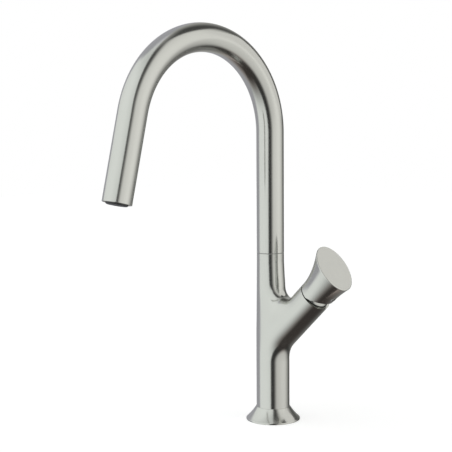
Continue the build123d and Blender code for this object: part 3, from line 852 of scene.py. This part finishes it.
# The bonnet's foot is painted black as painted shade, standing for the dark gap under the knob's
# skirt; higher up, where the notch shows it, it is bright steel.
painted_shade_top = 0.7 * mm
steel_above = 1.1 * mm
bonnet_painted_shade, shader, wire = blank_material("steel_bonnet_painted_shade", nickel, 1.0, 0.16)
out_of_branch = wire.node("ShaderNodeTexCoord", output="Object").dot(tuple(branch_out))
# Mask of the painted shade: black at the bonnet's foot, bare steel higher up along the branch.
clear_of_painted_shade = (out_of_branch - float(branch_end @ branch_out)).step(painted_shade_top, steel_above)
feed(shader, "Base Color", clear_of_painted_shade.blend((0.015, 0.015, 0.016, 1), (*nickel, 1)))
feed(shader, "Metallic", clear_of_painted_shade)
feed(shader, "Roughness", 0.5 - 0.34 * clear_of_painted_shade)

slots = {part["node"]: part["material_slot"] for part in frame["record"]["subparts"]}
bodies = frame["record"]["behaviour"]["bodies"]
body_of_node = {node: body for body, members in bodies.items() for node in members}
own_finish = {
    "mounting_stud": stud_thread,
    "bonnet": bonnet_painted_shade,
    "swivel_ring": plain_finish("acetal_grey", (0.42, 0.42, 0.41), 0.0, 0.35),
}
made_anew = ("base_flange", "faucet_body", "spout_tube", "knob")
same_corner = 0.002 * mm
for node, solid in frame["nodes"].items():
    if node in made_anew:
        continue
    mesh = solid.data.copy()
    form = bmesh.new()
    form.from_mesh(mesh)
    bmesh.ops.remove_doubles(form, verts=form.verts, dist=same_corner)
    form.to_mesh(mesh)
    form.free()
    mesh.shade_smooth()
    mesh.set_sharp_from_angle(angle=radians(28))
    mesh.materials.clear()
    mesh.materials.append(own_finish.get(node, finishes[slots[node]]))
    hand_over(placed("fine_" + node, mesh), body_of_node[node], node)

# ---- Studio ------------------------------------------------------------------------------
# A pale floor, white all round to the eye, and two broad soft lights left and right of the
# camera with a dark gap between them. The room behind the tap is dim.

view_azimuth = radians(45.3)
to_camera = (sin(view_azimuth), -cos(view_azimuth), 0.0)
to_right = (cos(view_azimuth), sin(view_azimuth), 0.0)

world = bpy.data.worlds.new("studio")
bpy.context.scene.world = world
world.use_nodes = True
sky = world.node_tree
wire = Wire(sky)
way = wire.node("ShaderNodeTexCoord", output="Generated")
to_degrees = degrees(1.0)
round_way = wire.math("ARCTAN2", way.dot(to_right), way.dot(to_camera)) * to_degrees
rise = wire.math("ARCSINE", way.dot((0.0, 0.0, 1.0))) * to_degrees

# Left softbox: its near edge is the dark gap in front, which is wider below eye level.
gap_below, gap_above = -18.0, -2.0
far_below, far_above = -106.0, -134.0
above = rise.step(-3.0, 16.0)
near_edge = (gap_above - gap_below) * above + gap_below
far_edge = (far_above - far_below) * above * (1.0 - rise.step(35.0, 65.0)) + far_below
in_left = (1.0 - (round_way - near_edge).step(-3.0, 4.0)) * (round_way - far_edge).step(-6.0, 6.0)
left_level = 0.92 - 0.1 * round_way.step(-55.0, -5.0) - 0.06 * (1.0 - round_way.step(-125.0, -85.0))
left_lamp = left_level * in_left * rise.step(-74.0, -18.0) * (1.0 - 0.55 * rise.step(45.0, 95.0))
# Right softbox: nearer and round-cornered, so that it falls off all round.
lamp_round, lamp_rise = 72.0, -7.0
half_width, half_below, half_above = 58.0, 50.0, 76.0
across = (round_way - lamp_round) * (1 / half_width)
per_degree = 1 / half_below - (1 / half_below - 1 / half_above) * rise.step(-7.0, 15.0)
upwards = (rise - lamp_rise) * per_degree
spread = wire.math("SQRT", across * across + upwards * upwards)
upper_edge = 72.0 - 29.0 * round_way.step(60.0, 105.0)
in_right = (1.0 - spread.step(0.78, 1.22)) * (1.0 - (rise - upper_edge).step(-4.0, 4.0))
right_level = (0.95 - 0.25 * spread) * (0.84 + 0.16 * rise.step(-14.0, -3.0))
right_lamp = right_level * in_right * (1.0 - 0.55 * round_way.step(88.0, 130.0))
# The room behind the tap, greyer on the left, and the ceiling and table.
back_left = (1.0 - (round_way - far_edge).step(-6.0, 6.0)) * 0.39 * rise.step(-88.0, -42.0)
back_right = round_way.step(125.0, 215.0) * 0.6
ceiling = 0.025 * rise.step(0.0, 30.0) + 0.3 * rise.step(66.0, 88.0)
everywhere = 0.045
level = left_lamp + right_lamp + back_left + back_right + ceiling + everywhere

# The lamps are a touch cool and warm, the room bluish, and the light off the table brown.
on_right = round_way.step(-2.0, 6.0)
low = 1.0 - rise.step(-78.0, -40.0)
lamp_tint = on_right.blend((0.972, 1.0, 0.98, 1), (1.005, 1.0, 0.965, 1))
back_tint = (back_left * 2.5).blend(lamp_tint, (0.99, 0.99, 1.07, 1))
tint = low.blend(back_tint, (1.16, 1.0, 0.93, 1))
room = sky.nodes["Background"]
sky.links.new(level.tinted(tint).socket, room.inputs["Color"])
room.inputs["Strength"].default_value = 1.0
white = wire.node("ShaderNodeBackground", inputs={"Color": (1, 1, 1, 1)})
to_eye = wire.node("ShaderNodeLightPath", output="Is Camera Ray")
seen = wire.node("ShaderNodeMixShader", inputs={0: to_eye, 1: Wire(sky, room.outputs[0]), 2: white})
sky.links.new(seen.socket, sky.nodes["World Output"].inputs["Surface"])


def square(name, half, material):
    """A flat square that faces up."""
    corners = [(-half, -half, 0), (half, -half, 0), (half, half, 0), (-half, half, 0)]
    mesh = plain_mesh(name, corners, [(0, 1, 2, 3)])
    mesh.materials.append(material)
    return placed(name, mesh)


# A third lamp up behind on the right, for the knob's face. Only the metal sees it.
lamp_way = Vector((0.307, 0.733, 0.598))
lamp_away = 0.6
lamp_half = 0.2
cloth, shader, _ = blank_material("lamp_cloth", (0, 0, 0), 0.0, 0.5)
shader.inputs["Emission Color"].default_value = (1.0, 0.99, 0.96, 1)
shader.inputs["Emission Strength"].default_value = 0.8
lamp = square("face_lamp", lamp_half, cloth)
lamp.location = Vector(branch_end) + lamp_way * lamp_away
lamp.rotation_euler = (-lamp_way).to_track_quat("Z", "Y").to_euler()
lamp.visible_camera = False
lamp.visible_diffuse = False
lamp.visible_shadow = False

# The floor is matt paper that glows a little to the eye, so that it fades into the white.
floor_half = 3.0
floor_glow = 0.58
paper = bpy.data.materials.new("pale_floor")
paper.use_nodes = True
paper.node_tree.nodes.clear()
wire = Wire(paper.node_tree)
matt = wire.node("ShaderNodeBsdfDiffuse", inputs={"Color": (0.8, 0.8, 0.8, 1)})
shine = wire.node("ShaderNodeEmission", inputs={"Strength": floor_glow})
both = wire.node("ShaderNodeAddShader", inputs={0: matt, 1: shine})
to_eye = wire.node("ShaderNodeLightPath", output="Is Camera Ray")
seen = wire.node("ShaderNodeMixShader", inputs={0: to_eye, 1: matt, 2: both})
surface = paper.node_tree.nodes.new("ShaderNodeOutputMaterial")
paper.node_tree.links.new(seen.socket, surface.inputs["Surface"])
floor = square("floor", floor_half, paper)
floor.visible_glossy = False

# The camera stands where the photograph's perspective puts it, a metre and more away.
camera_place = Vector((802.24, -860.95, 315.8)) * mm
pitch = radians(5.55)
camera_roll = radians(-0.4)
look = Vector((-sin(view_azimuth) * cos(pitch), cos(view_azimuth) * cos(pitch), -sin(pitch)))
camera_data = bpy.data.cameras.new("camera")
camera_data.sensor_width = 36.0
camera_data.lens = 91.8
camera = placed("camera", camera_data)
camera.location = camera_place
turned_upright = Quaternion((0, 0, 1), camera_roll)
camera.rotation_euler = (look.to_track_quat("-Z", "Y") @ turned_upright).to_euler()
bpy.context.scene.camera = camera
bpy.context.scene.view_settings.view_transform = "Standard"
